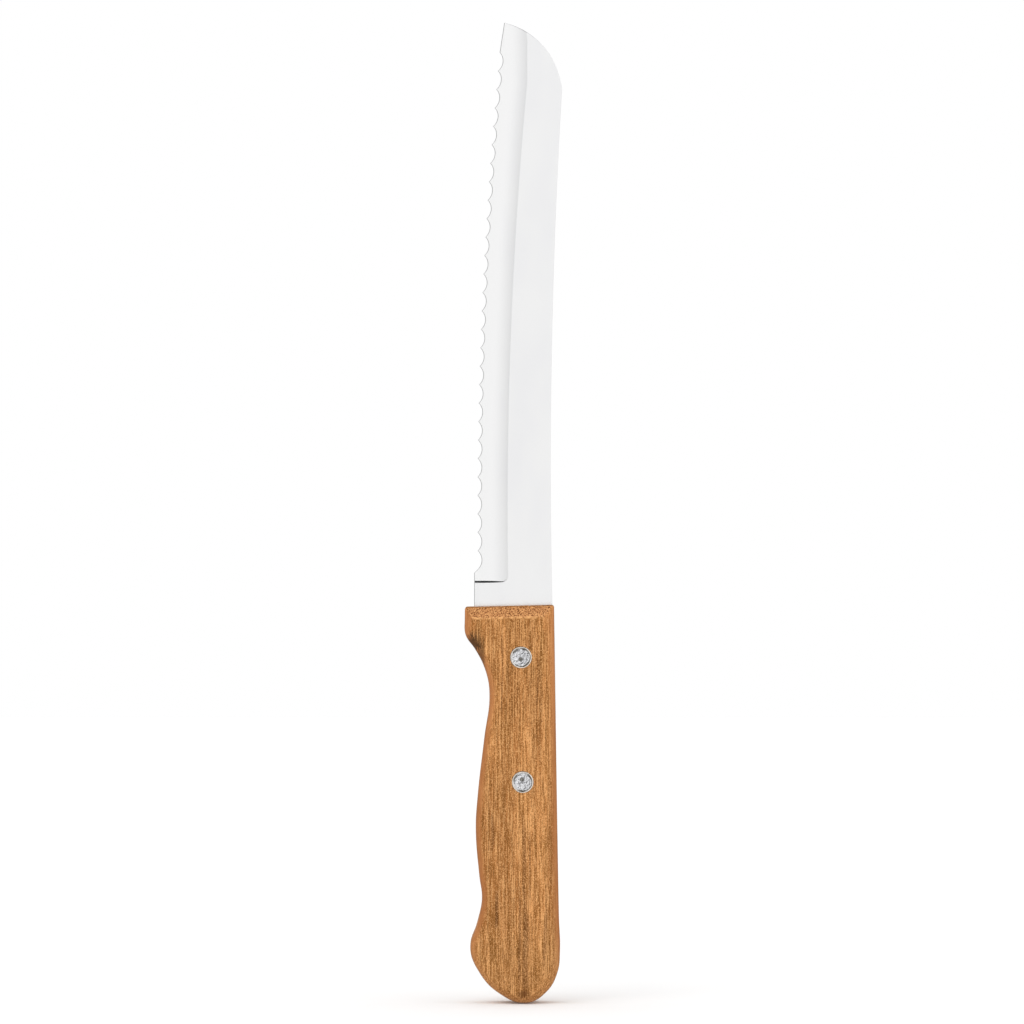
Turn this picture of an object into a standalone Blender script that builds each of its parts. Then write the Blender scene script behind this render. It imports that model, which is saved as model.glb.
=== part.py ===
"""Bread knife: a serrated, hollow-ground blade, riveted by its half tang into a slotted wooden handle.

The knife stands on its pommel with the tip up. +Z runs from handle to tip, the cutting edge faces -X,
the spine faces +X, and the blade's sheet lies in the plane Y = 0. Every outline is drawn in (x, z) from
one datum, where the spine meets the front of the handle, and the root empty lifts that datum so that
the lowest point of the pommel stands on Z = 0, with the middle of the whole knife above the origin.
"""

import math

import bmesh
import bpy
from mathutils import Matrix, Vector

MM = 0.001

# Blade sheet
SHEET_THICKNESS = 1.2 * MM
BLADE_LENGTH = 178.0 * MM
SPINE_RADIUS = 1900.0 * MM
SPINE_APEX = Vector((-0.3, 43.0)) * MM
BACK_START_Z = 157.5 * MM
BACK_RADIUS = 23.0 * MM
TIP = Vector((-14.5, 178.0)) * MM
RICASSO_X = -23.7 * MM
HEEL_X = -23.4 * MM

# Cutting edge: the points of the serration lie on one long arc
EDGE_RADIUS = 1434.0 * MM
EDGE_APEX = Vector((-22.7, 29.4)) * MM
FIRST_POINT_Z = 168.9 * MM
LAST_POINT_Z = 10.9 * MM
GULLET_COUNT = 28
GULLET_DEPTH = 1.2 * MM
GULLET_STEPS = 8
SERRATION_LEAN = math.radians(68.0)
BLANK_ALLOWANCE = 0.5 * MM
RUN_OUT = 6.0 * MM

# Hollow grind on both faces
GRIND_WIDTH = 9.25 * MM
GRIND_WHEEL_RADIUS = 75.0 * MM
GRIND_DEPTH = 0.42 * MM
PLUNGE_Z = 7.3 * MM
GRIND_OVERSHOOT = 2.0 * MM

# Half tang
HEEL_DEPTH = 1.5 * MM
TANG_LENGTH = 65.0 * MM
TANG_BELLY_X = -17.5 * MM
TANG_BELLY_END_X = -16.2 * MM
TANG_BACK_END_X = 0.8 * MM
TANG_FILLET = 1.5 * MM
TANG_END_RADIUS = 5.0 * MM

# Handle
HANDLE_THICKNESS = 17.0 * MM
HANDLE_LENGTH = 121.4 * MM
GUARD_X = -26.65 * MM
HANDLE_EASING = 2.8 * MM
HANDLE_EASING_STEPS = 4
HANDLE_CORNERS = ((0.6, 0.0), (-26.6, -0.6))
HANDLE_CURVE = (
    (-26.65, -4.5),
    (-26.65, -8.0),
    (-26.0, -10.0),
    (-23.7, -13.1),
    (-20.3, -20.0),
    (-19.1, -27.0),
    (-20.7, -40.5),
    (-22.7, -58.0),
    (-23.3, -68.0),
    (-22.2, -82.6),
    (-21.4, -89.5),
    (-22.9, -97.3),
    (-25.0, -104.5),
    (-22.3, -111.9),
    (-16.5, -118.2),
    (-8.0, -121.4),
    (-1.8, -118.1),
    (1.7, -111.9),
    (2.4, -106.0),
    (2.1, -95.0),
)

# Steps of the drawn curves
CURVE_STEPS = 8
SPINE_STEPS = 10
BACK_STEPS = 16
EDGE_STEPS = 24
FILLET_STEPS = 5
GRIND_SECTION_STEPS = 12
GRIND_SPIN_STEPS = 24
SAW_SEGMENTS = 192
DISH_STEPS = 5
TURNING_STEPS = 40

# Saw slot in the handle
SLOT_CLEARANCE = 0.15 * MM
SAW_RADIUS = 90.0 * MM
SAW_CENTRE = Vector((0.0, 23.0)) * MM

# Two-part rivets
RIVET_CENTRES = {
    "front": Vector((-9.5, -15.9)) * MM,
    "rear": Vector((-9.0, -53.9)) * MM,
}
RIVET_RECESS = 0.1 * MM
RIVET_CLEARANCE = 0.15 * MM
HEAD_RADIUS = 3.3 * MM
HEAD_THICKNESS = 1.3 * MM
HEAD_EASING = 0.15 * MM
RIM_WIDTH = 0.6 * MM
GROOVE_WIDTH = 0.25 * MM
GROOVE_DEPTH = 0.3 * MM
DISH_DEPTH = 0.3 * MM
SLEEVE_RADIUS = 2.1 * MM
SLEEVE_END_GAP = 0.4 * MM
PIN_RADIUS = 1.3 * MM
PIN_END_GAP = 0.8 * MM
BORE_OVERSHOOT = 2.0 * MM

STEEL = {"colour": (0.80, 0.80, 0.80, 1.0), "roughness": 0.25, "metallic": 1.0}
WOOD = {"colour": (0.45, 0.22, 0.08, 1.0), "roughness": 0.55, "metallic": 0.0}
ALUMINIUM = {"colour": (0.72, 0.73, 0.75, 1.0), "roughness": 0.35, "metallic": 1.0}

WELD_DISTANCE = 0.01 * MM
FLAT_NORMAL = 0.999
AXIS_TO_Y = Matrix.Rotation(math.radians(-90.0), 4, "X")
DRAWING_TO_XZ = Matrix.Rotation(math.radians(90.0), 4, "X")


# ---------------------------------------------------------------- scene helpers


def clear_scene():
    for obj in list(bpy.data.objects):
        bpy.data.objects.remove(obj)


def new_collection(name):
    collection = bpy.data.collections.new(name)
    bpy.context.scene.collection.children.link(collection)
    return collection


def new_material(name, colour, roughness, metallic):
    material = bpy.data.materials.new(name)
    material.use_nodes = True
    shader = material.node_tree.nodes["Principled BSDF"]
    shader.inputs["Base Color"].default_value = colour
    shader.inputs["Roughness"].default_value = roughness
    shader.inputs["Metallic"].default_value = metallic
    material.diffuse_color = colour
    return material


def place(obj, collection, root):
    collection.objects.link(obj)
    obj.parent = root
    return obj


def hide_cutter(obj):
    obj.hide_render = True
    obj.display_type = "WIRE"


def new_object_from_bmesh(name, bm):
    bmesh.ops.recalc_face_normals(bm, faces=bm.faces)
    mesh = bpy.data.meshes.new(name)
    bm.to_mesh(mesh)
    bm.free()
    return bpy.data.objects.new(name, mesh)


def cut(obj, name, cutter):
    boolean = obj.modifiers.new(name, "BOOLEAN")
    boolean.operation = "DIFFERENCE"
    boolean.solver = "EXACT"
    boolean.object = cutter


# ---------------------------------------------------------------- drawing helpers


def evenly(start, end, steps):
    return [start + (end - start) * i / steps for i in range(steps + 1)]


def bowed_x(z, apex, radius):
    """x at height z on a long arc whose leftmost point is the apex."""
    return apex.x + radius - math.sqrt(radius**2 - (z - apex.y) ** 2)


def arc_between(start, end, radius, steps):
    """The points of the shorter arc from start to end, turning anticlockwise, without its two ends."""
    chord = end - start
    half = chord.length / 2
    left = Vector((-chord.y, chord.x)).normalized()
    centre = (start + end) / 2 + left * math.sqrt(radius**2 - half**2)
    first = math.atan2(start.y - centre.y, start.x - centre.x)
    sweep = 2 * math.asin(half / radius)
    return [
        centre + radius * Vector((math.cos(first + turn), math.sin(first + turn)))
        for turn in evenly(0.0, sweep, steps)[1:-1]
    ]


def fillet(before, corner, after, radius):
    """The points of a round of this radius that replaces a corner."""
    to_before = (before - corner).normalized()
    to_after = (after - corner).normalized()
    half_angle = to_before.angle(to_after) / 2
    middle = corner + (to_before + to_after).normalized() * radius / math.sin(half_angle)
    from_middle = corner + to_before * radius / math.tan(half_angle) - middle
    turn = math.pi - 2 * half_angle
    side = math.copysign(1.0, to_after.x * to_before.y - to_after.y * to_before.x)
    return [
        middle + Matrix.Rotation(angle, 2) @ from_middle
        for angle in evenly(0.0, side * turn, FILLET_STEPS)
    ]


def straight_spline(curve, outline):
    spline = curve.splines.new("POLY")
    spline.points.add(len(outline) - 1)
    for point, at in zip(spline.points, outline):
        point.co = (at.x, at.y, 0.0, 1.0)
    spline.use_cyclic_u = True


def smooth_spline(curve, corners, smooth_points):
    spline = curve.splines.new("BEZIER")
    spline.bezier_points.add(len(corners) + len(smooth_points) - 1)
    for point, (x, z) in zip(spline.bezier_points, corners + smooth_points):
        kind = "VECTOR" if (x, z) in corners else "AUTO"
        point.co = (x * MM, z * MM, 0.0)
        point.handle_left_type = kind
        point.handle_right_type = kind
    spline.use_cyclic_u = True


def plate(name, draw, thickness):
    """A flat plate in the XZ plane: a filled, extruded 2D curve, with each cap made one face."""
    curve = bpy.data.curves.new(name, "CURVE")
    curve.dimensions = "2D"
    curve.fill_mode = "BOTH"
    curve.extrude = thickness / 2
    curve.resolution_u = CURVE_STEPS
    draw(curve)
    drawing = bpy.data.objects.new(name + "_drawing", curve)
    drawing.matrix_world = DRAWING_TO_XZ
    bpy.context.scene.collection.objects.link(drawing)
    bpy.context.view_layer.update()
    graph = bpy.context.evaluated_depsgraph_get()
    mesh = bpy.data.meshes.new_from_object(drawing.evaluated_get(graph))
    mesh.transform(drawing.matrix_world)
    bpy.data.objects.remove(drawing)

    bm = bmesh.new()
    bm.from_mesh(mesh)
    bpy.data.meshes.remove(mesh)
    bmesh.ops.remove_doubles(bm, verts=bm.verts, dist=WELD_DISTANCE)
    bm.normal_update()
    inside_caps = [
        edge
        for edge in bm.edges
        if len(edge.link_faces) == 2 and all(lies_flat(face) for face in edge.link_faces)
    ]
    bmesh.ops.dissolve_edges(bm, edges=inside_caps, use_verts=False)
    return new_object_from_bmesh(name, bm)


def lies_flat(face):
    """Whether a face looks straight along Y."""
    return abs(face.normal.y) > FLAT_NORMAL


def disc(name, radius, thickness, centre, segments):
    """A disc in the XZ plane, centred on the plane Y = 0."""
    bm = bmesh.new()
    bmesh.ops.create_cone(
        bm,
        cap_ends=True,
        segments=segments,
        radius1=radius,
        radius2=radius,
        depth=thickness,
        matrix=AXIS_TO_Y,
    )
    obj = new_object_from_bmesh(name, bm)
    obj.location = (centre.x, 0.0, centre.y)
    return obj


def turned(name, profile, centre, material=None, flipped=False):
    """A profile of (radius, y) points turned about an axis along Y; flipped faces it the other way."""
    mesh = bpy.data.meshes.new(name)
    mesh.from_pydata(
        [(radius, 0.0, height) for radius, height in profile],
        [(i, i + 1) for i in range(len(profile) - 1)],
        [],
    )
    obj = bpy.data.objects.new(name, mesh)
    turn = math.radians(90.0 if flipped else -90.0)
    obj.location = (centre.x, 0.0, centre.y)
    obj.rotation_euler = (turn, 0.0, 0.0)
    screw = obj.modifiers.new("turning", "SCREW")
    screw.steps = TURNING_STEPS
    screw.render_steps = TURNING_STEPS
    screw.use_merge_vertices = True
    screw.merge_threshold = WELD_DISTANCE
    screw.use_smooth_shade = True
    if material:
        mesh.materials.append(material)
    return obj


# ---------------------------------------------------------------- blade


def spine_x(z):
    return bowed_x(z, SPINE_APEX, SPINE_RADIUS)


def edge_x(z):
    return bowed_x(z, EDGE_APEX, EDGE_RADIUS)


def tang_outline():
    """From the heel, down the belly side of the tang, round its end and up its back."""
    heel_front = Vector((RICASSO_X, 0.0))
    heel = Vector((HEEL_X, -HEEL_DEPTH))
    root = Vector((TANG_BELLY_X, -HEEL_DEPTH))
    belly_end = Vector((TANG_BELLY_END_X, -TANG_LENGTH))
    back_end = Vector((TANG_BACK_END_X, -TANG_LENGTH))
    back = Vector((spine_x(0.0), 0.0))
    return [
        heel_front,
        heel,
        *fillet(heel, root, belly_end, TANG_FILLET),
        *fillet(root, belly_end, back_end, TANG_END_RADIUS),
        *fillet(belly_end, back_end, back, TANG_END_RADIUS),
    ]


def blank_outline():
    """Anticlockwise from the foot of the spine: spine, rounded back, tip, unserrated edge, ricasso, tang."""
    spine = [Vector((spine_x(z), z)) for z in evenly(0.0, BACK_START_Z, SPINE_STEPS)]
    edge = [
        Vector((edge_x(z) - BLANK_ALLOWANCE, z))
        for z in evenly(FIRST_POINT_Z - BLANK_ALLOWANCE, LAST_POINT_Z, EDGE_STEPS)
    ]
    return [
        *spine,
        *arc_between(spine[-1], TIP, BACK_RADIUS, BACK_STEPS),
        TIP,
        Vector((edge_x(FIRST_POINT_Z), FIRST_POINT_Z)),
        *edge,
        Vector((RICASSO_X, LAST_POINT_Z - BLANK_ALLOWANCE)),
        *tang_outline(),
    ]


def grinding_wheel_path(name, side, collection, root):
    """One face's hollow grind: the wheel's round section, spun along the arc of the cutting edge."""
    centre = Vector((EDGE_APEX.x + EDGE_RADIUS, 0.0, EDGE_APEX.y))
    face_y = SHEET_THICKNESS / 2
    grind_line = EDGE_RADIUS - GRIND_WIDTH
    reach = math.sqrt(GRIND_WHEEL_RADIUS**2 - (GRIND_WHEEL_RADIUS - GRIND_DEPTH) ** 2)
    deepest = grind_line + reach
    inner = grind_line - GRIND_OVERSHOOT
    outer = EDGE_RADIUS + GRIND_OVERSHOOT
    section = [
        (radius, face_y - GRIND_DEPTH + (radius - deepest) ** 2 / (2 * GRIND_WHEEL_RADIUS))
        for radius in evenly(inner, outer, GRIND_SECTION_STEPS)
    ]
    section += [(outer, face_y + GRIND_OVERSHOOT), (inner, face_y + GRIND_OVERSHOOT)]
    start = math.asin((PLUNGE_Z - EDGE_APEX.y) / EDGE_RADIUS)
    end = math.asin((BLADE_LENGTH + 2 * GRIND_OVERSHOOT - EDGE_APEX.y) / EDGE_RADIUS)

    bm = bmesh.new()
    corners = [
        bm.verts.new(centre + Vector((-radius * math.cos(start), side * y, radius * math.sin(start))))
        for radius, y in section
    ]
    face = bm.faces.new(corners)
    bmesh.ops.spin(
        bm,
        geom=[face, *face.edges, *face.verts],
        cent=centre,
        axis=(0.0, 1.0, 0.0),
        angle=end - start,
        steps=GRIND_SPIN_STEPS,
        use_duplicate=False,
    )
    cutter = place(new_object_from_bmesh(name, bm), collection, root)
    hide_cutter(cutter)
    return cutter


def gullet_chain():
    """The edge from the point next to the tip down to the last point: one arc for each gullet."""
    pitch = (FIRST_POINT_Z - LAST_POINT_Z) / GULLET_COUNT
    radius = ((pitch / 2) ** 2 + GULLET_DEPTH**2) / (2 * GULLET_DEPTH)
    points = [Vector((edge_x(z), z)) for z in evenly(FIRST_POINT_Z, LAST_POINT_Z, GULLET_COUNT)]
    chain = [points[0]]
    for above, below in zip(points, points[1:]):
        chain += [*reversed(arc_between(below, above, radius, GULLET_STEPS)), below]
    return chain


def serrating_wheel(collection, root):
    """All gullets as one leaning prism: it cuts the scallops through and bevels the +Y face there."""
    chain = gullet_chain()
    above = chain[0] + (chain[0] - chain[1]).normalized() * RUN_OUT
    below = chain[-1] + (chain[-1] - chain[-2]).normalized() * RUN_OUT
    outside_x = RICASSO_X - 4 * RUN_OUT
    outline = [above, *chain, below, Vector((outside_x, below.y)), Vector((outside_x, above.y))]
    wheel = plate("serrating_wheel", lambda curve: straight_spline(curve, outline), RUN_OUT)
    lean = math.tan(SERRATION_LEAN)
    wheel.data.transform(Matrix.Shear("XZ", 4, (lean, 0.0)))
    # The scallops have their full depth on the -Y face of the thin edge.
    wheel.location.x = (SHEET_THICKNESS / 2 - GRIND_DEPTH) * lean
    hide_cutter(place(wheel, collection, root))
    return wheel


def mark_handle_front(blade):
    """A loop of edges where the blade enters the handle, so that its flat faces end there."""
    bm = bmesh.new()
    bm.from_mesh(blade.data)
    everything = [*bm.verts, *bm.edges, *bm.faces]
    bmesh.ops.bisect_plane(bm, geom=everything, plane_co=(0.0, 0.0, 0.0), plane_no=(0.0, 0.0, 1.0))
    bm.to_mesh(blade.data)
    bm.free()


def make_blade(parts, cutters, bores, root):
    outline = blank_outline()
    blade = plate("blade", lambda curve: straight_spline(curve, outline), SHEET_THICKNESS)
    blade.data.materials.append(new_material("blade_steel", **STEEL))
    mark_handle_front(blade)
    place(blade, parts, root)
    for name, bore in bores.items():
        cut(blade, f"{name}_hole", bore)
    for name, side in (("left", -1.0), ("right", 1.0)):
        cut(blade, f"hollow_{name}", grinding_wheel_path(f"grinding_wheel_{name}", side, cutters, root))
    cut(blade, "serration", serrating_wheel(cutters, root))


# ---------------------------------------------------------------- handle


def ease_side_borders(handle):
    """Round the border of both side faces, with mitres at the corners of the front."""
    bm = bmesh.new()
    bm.from_mesh(handle.data)
    weight = bm.edges.layers.float.new("bevel_weight_edge")
    for edge in bm.edges:
        flat = [lies_flat(face) for face in edge.link_faces]
        edge[weight] = 1.0 if any(flat) and not all(flat) else 0.0
    bm.to_mesh(handle.data)
    bm.free()
    bevel = handle.modifiers.new("eased_borders", "BEVEL")
    bevel.limit_method = "WEIGHT"
    bevel.width = HANDLE_EASING
    bevel.segments = HANDLE_EASING_STEPS
    bevel.use_clamp_overlap = False


def make_handle(parts, cutters, bores, root):
    handle = plate(
        "handle", lambda curve: smooth_spline(curve, HANDLE_CORNERS, HANDLE_CURVE), HANDLE_THICKNESS
    )
    handle.data.materials.append(new_material("handle_wood", **WOOD))
    place(handle, parts, root)
    ease_side_borders(handle)

    slot_width = SHEET_THICKNESS + 2 * SLOT_CLEARANCE
    saw = disc("slot_saw", SAW_RADIUS, slot_width, SAW_CENTRE, segments=SAW_SEGMENTS)
    hide_cutter(place(saw, cutters, root))
    cut(handle, "saw_slot", saw)
    for name, bore in bores.items():
        cut(handle, f"{name}_bore", bore)


# ---------------------------------------------------------------- rivets


HEAD_Y = HANDLE_THICKNESS / 2 - RIVET_RECESS
SEAT_Y = HEAD_Y - HEAD_THICKNESS
SLEEVE_END_Y = -(SEAT_Y - SLEEVE_END_GAP)
PIN_END_Y = -(SEAT_Y - PIN_END_GAP)


def head_profile():
    """A rivet head from its middle out: a dished disc, a groove, a rim, and the side down to the seat."""
    disc_radius = HEAD_RADIUS - RIM_WIDTH - GROOVE_WIDTH
    disc_y = HEAD_Y - GROOVE_DEPTH / 3
    dish = [
        (disc_radius * share, disc_y - DISH_DEPTH * (1 - share**2))
        for share in evenly(0.0, 1.0, DISH_STEPS)
    ]
    return [
        *dish,
        (disc_radius + GROOVE_WIDTH / 2, HEAD_Y - GROOVE_DEPTH),
        (HEAD_RADIUS - RIM_WIDTH, HEAD_Y),
        (HEAD_RADIUS - HEAD_EASING, HEAD_Y),
        (HEAD_RADIUS, HEAD_Y - HEAD_EASING),
        (HEAD_RADIUS, SEAT_Y),
    ]


def make_bores(cutters, root):
    """For each rivet, a spool: the shank's bore through wood and tang, and a counterbore for each head."""
    outside = HANDLE_THICKNESS / 2 + BORE_OVERSHOOT
    seat = SEAT_Y - RIVET_CLEARANCE
    shank = SLEEVE_RADIUS + RIVET_CLEARANCE
    head = HEAD_RADIUS + RIVET_CLEARANCE
    profile = [
        (0.0, outside),
        (head, outside),
        (head, seat),
        (shank, seat),
        (shank, -seat),
        (head, -seat),
        (head, -outside),
        (0.0, -outside),
    ]
    bores = {}
    for name, centre in RIVET_CENTRES.items():
        bores[name] = place(turned(f"{name}_rivet_bore", profile, centre), cutters, root)
        hide_cutter(bores[name])
    return bores


def make_rivets(parts, root):
    """The sleeve's head lies on the +Y side, the pin's head on the -Y side."""
    bore = PIN_RADIUS + RIVET_CLEARANCE
    bore_end = -PIN_END_Y + PIN_END_GAP / 2
    sleeve_profile = [
        *head_profile(),
        (SLEEVE_RADIUS, SEAT_Y),
        (SLEEVE_RADIUS, SLEEVE_END_Y),
        (bore, SLEEVE_END_Y),
        (bore, bore_end),
        (0.0, bore_end),
    ]
    pin_profile = [
        *head_profile(),
        (PIN_RADIUS, SEAT_Y),
        (PIN_RADIUS, PIN_END_Y + HEAD_EASING),
        (PIN_RADIUS - HEAD_EASING, PIN_END_Y),
        (0.0, PIN_END_Y),
    ]
    for name, centre in RIVET_CENTRES.items():
        metal = new_material(f"{name}_rivet_aluminium", **ALUMINIUM)
        sleeve = turned(f"{name}_rivet_sleeve", sleeve_profile, centre, metal)
        pin = turned(f"{name}_rivet_pin", pin_profile, centre, metal, flipped=True)
        place(sleeve, parts, root)
        place(pin, parts, root)


# ---------------------------------------------------------------- assembly


def main():
    clear_scene()
    parts = new_collection("bread_knife")
    cutters = new_collection("cutters")

    root = bpy.data.objects.new("bread_knife_root", None)
    widest_x = spine_x(BACK_START_Z)
    root.location = (-(GUARD_X + widest_x) / 2, 0.0, HANDLE_LENGTH)
    parts.objects.link(root)
    bores = make_bores(cutters, root)
    make_blade(parts, cutters, bores, root)
    make_handle(parts, cutters, bores, root)
    make_rivets(parts, root)
    bpy.context.view_layer.update()


main()
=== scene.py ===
"""Looks of the bread knife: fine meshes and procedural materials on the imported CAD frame.

Lengths are millimetres on paper and metres in the scene. The drawing plane is (x, z), measured from the
knife's datum, where the spine meets the front of the handle. The datum's place comes from the CAD boxes.
"""

import math

import bmesh
import bpy
from mathutils import Matrix, Vector, noise


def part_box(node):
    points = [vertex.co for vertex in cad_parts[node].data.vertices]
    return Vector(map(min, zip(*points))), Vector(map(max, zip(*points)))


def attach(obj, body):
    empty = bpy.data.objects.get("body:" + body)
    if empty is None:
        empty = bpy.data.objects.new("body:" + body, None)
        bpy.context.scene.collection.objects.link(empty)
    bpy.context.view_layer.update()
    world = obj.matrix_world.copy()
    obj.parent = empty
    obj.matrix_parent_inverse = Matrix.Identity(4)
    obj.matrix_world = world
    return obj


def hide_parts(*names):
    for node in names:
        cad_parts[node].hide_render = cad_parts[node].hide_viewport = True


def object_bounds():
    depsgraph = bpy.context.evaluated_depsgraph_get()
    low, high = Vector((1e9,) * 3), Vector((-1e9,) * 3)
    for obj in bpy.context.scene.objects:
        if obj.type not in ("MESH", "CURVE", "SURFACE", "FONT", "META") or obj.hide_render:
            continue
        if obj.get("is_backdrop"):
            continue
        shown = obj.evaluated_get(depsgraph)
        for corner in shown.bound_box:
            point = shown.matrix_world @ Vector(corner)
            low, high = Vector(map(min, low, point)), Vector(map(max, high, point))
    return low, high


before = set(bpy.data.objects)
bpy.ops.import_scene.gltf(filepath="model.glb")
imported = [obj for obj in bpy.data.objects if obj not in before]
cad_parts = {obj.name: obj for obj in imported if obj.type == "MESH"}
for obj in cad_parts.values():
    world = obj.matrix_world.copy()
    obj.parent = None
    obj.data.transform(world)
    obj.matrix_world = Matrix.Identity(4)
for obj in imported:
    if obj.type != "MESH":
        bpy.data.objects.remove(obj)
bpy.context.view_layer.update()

MM = 0.001

# The datum, from the CAD: the front of the handle, and the guard's reach in front of the spine
HANDLE_LOW, HANDLE_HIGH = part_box("handle")
BLADE_LOW, BLADE_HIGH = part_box("blade")
GUARD_REACH = 26.65
DATUM = Vector((HANDLE_LOW.x + GUARD_REACH * MM, 0.0, HANDLE_HIGH.z))


def from_datum(point):
    """A CAD point, in millimetres from the datum."""
    return (Vector(point) - DATUM) / MM


def middle_of(node):
    """The middle of a CAD node's box, in millimetres from the datum."""
    low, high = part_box(node)
    return from_datum((low + high) / 2)


# ---------------------------------------------------------------- mesh helpers

SAME_POINT = 1e-7
FLAT_EDGE = 1e-8


def evenly(start, end, steps):
    """Numbers from start to end in even steps, with both ends."""
    return [start + (end - start) * i / steps for i in range(steps + 1)]


def smoothstep(low, high, value):
    """0 below low, 1 above high and a smooth rise between."""
    t = min(max((value - low) / (high - low), 0.0), 1.0)
    return t * t * (3.0 - 2.0 * t)


def new_piece(name, mesh, material, node):
    """A shown piece that stands for a CAD node and rides on the knife's one body."""
    piece = bpy.data.objects.new(name, mesh)
    bpy.context.scene.collection.objects.link(piece)
    mesh.materials.clear()
    mesh.materials.append(material)
    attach(piece, "root")
    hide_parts(node)


def mesh_from(name, points, faces):
    """A closed mesh from points in millimetres, put at the datum, with its normals facing out."""
    mesh = bpy.data.meshes.new(name)
    mesh.from_pydata([tuple(DATUM + Vector(point) * MM) for point in points], [], faces)
    bm = bmesh.new()
    bm.from_mesh(mesh)
    bmesh.ops.remove_doubles(bm, verts=bm.verts, dist=SAME_POINT)
    bmesh.ops.dissolve_degenerate(bm, edges=bm.edges, dist=FLAT_EDGE)
    bmesh.ops.recalc_face_normals(bm, faces=bm.faces)
    bm.to_mesh(mesh)
    bm.free()
    return mesh


def ring_faces(ring_count, count):
    """Faces between neighbouring rings of points, each ring closed and with the same count."""
    faces = []
    for r in range(ring_count - 1):
        for c in range(count):
            a, b = r * count + c, r * count + (c + 1) % count
            faces.append((a, b, b + count, a + count))
    return faces


def loft(name, rings):
    """A mesh over rings of points, closed with a face at each end."""
    count = len(rings[0])
    points = [point for ring in rings for point in ring]
    faces = ring_faces(len(rings), count)
    faces.append(tuple(reversed(range(count))))
    faces.append(tuple(range(len(points) - count, len(points))))
    return mesh_from(name, points, faces)


def shade(mesh, degrees):
    """Smooth shading, with edges sharper than this angle kept sharp."""
    mesh.shade_smooth()
    mesh.set_sharp_from_angle(angle=math.radians(degrees))


def linked(name, mesh):
    """A helper object that holds a mesh for a Boolean."""
    helper = bpy.data.objects.new(name, mesh)
    bpy.context.scene.collection.objects.link(helper)
    return helper


def disc(name, radius, thickness, x, z, segments):
    """A disc in the XZ plane, centred on the blade's mid-plane."""
    bm = bmesh.new()
    turn = Matrix.Rotation(math.radians(90.0), 4, "X")
    place = Matrix.Translation(DATUM + Vector((x, 0.0, z)) * MM)
    bmesh.ops.create_cone(
        bm,
        cap_ends=True,
        segments=segments,
        radius1=radius * MM,
        radius2=radius * MM,
        depth=thickness * MM,
        matrix=place @ turn,
    )
    mesh = bpy.data.meshes.new(name)
    bm.to_mesh(mesh)
    bm.free()
    return linked(name, mesh)


def cut_away(mesh, cutters):
    """The mesh with these cutters subtracted; the cutters are removed."""
    work = linked(mesh.name + "_work", mesh)
    for cutter in cutters:
        boolean = work.modifiers.new(cutter.name, "BOOLEAN")
        boolean.operation = "DIFFERENCE"
        boolean.solver = "EXACT"
        boolean.object = cutter
    bpy.context.view_layer.update()
    graph = bpy.context.evaluated_depsgraph_get()
    result = bpy.data.meshes.new_from_object(work.evaluated_get(graph))
    for obj in [work, *cutters]:
        bpy.data.objects.remove(obj)
    return result


# ---------------------------------------------------------------- blade's outline

SHEET = (BLADE_HIGH.y - BLADE_LOW.y) / MM
TIP = Vector((-14.5, 178.0))
SPINE_RADIUS = 1900.0
SPINE_APEX = Vector((-0.3, 43.0))
BACK_START_Z = 157.5
BACK_RADIUS = 23.0
EDGE_RADIUS = 1434.0
EDGE_APEX = Vector((-22.7, 29.4))
FIRST_POINT_Z = 168.9
LAST_POINT_Z = 10.9
GULLET_COUNT = 28
GULLET_PITCH = (FIRST_POINT_Z - LAST_POINT_Z) / GULLET_COUNT
GULLET_DEPTH = 1.2
RICASSO_X = -23.7
HEEL_X = -23.4
HEEL_Z = -1.5
TANG_BELLY_X = -17.5
TANG_BELLY_END_X = -16.2
TANG_BACK_END_X = 0.8
TANG_END_RADIUS = 5.0
TANG_END_Z = from_datum(BLADE_LOW).z
TANG_FILLET = 1.5
MIN_WIDTH = 0.02


def bowed_x(z, apex, radius):
    """The x of a long arc that bows towards -X, at this height."""
    return apex.x + radius - math.sqrt(radius**2 - (z - apex.y) ** 2)


def spine_x(z):
    """The spine's long arc, from the handle to the round of the back."""
    return bowed_x(z, SPINE_APEX, SPINE_RADIUS)


def point_line_x(z):
    """The line through the points of the scalloped edge."""
    return bowed_x(z, EDGE_APEX, EDGE_RADIUS)


def back_centre():
    """The centre of the round that runs from the spine to the tip."""
    start = Vector((spine_x(BACK_START_Z), BACK_START_Z))
    chord = TIP - start
    left = Vector((-chord.y, chord.x)).normalized()
    return (start + TIP) / 2 + left * math.sqrt(BACK_RADIUS**2 - (chord.length / 2) ** 2)


def end_round(z):
    """How far the tang's rounded end pulls its two sides in at this height."""
    into = TANG_END_Z + TANG_END_RADIUS - z
    if into <= 0.0:
        return 0.0
    return TANG_END_RADIUS - math.sqrt(max(TANG_END_RADIUS**2 - into**2, 0.0))


def back_x(z):
    """The blade's back: the spine, then the round that ends at the tip, and the tang's back below."""
    if z >= BACK_START_Z:
        centre = back_centre()
        return centre.x + math.sqrt(max(BACK_RADIUS**2 - (z - centre.y) ** 2, 0.0))
    if z >= 0.0:
        return spine_x(z)
    along = z / TANG_END_Z
    return spine_x(0.0) * (1 - along) + TANG_BACK_END_X * along - end_round(z)


def gullet_depth(z):
    """Depth of the scalloped edge behind the line of its points."""
    radius = ((GULLET_PITCH / 2) ** 2 + GULLET_DEPTH**2) / (2 * GULLET_DEPTH)
    along = (z - LAST_POINT_Z) % GULLET_PITCH - GULLET_PITCH / 2
    return GULLET_DEPTH - radius + math.sqrt(radius**2 - along**2)


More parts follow.
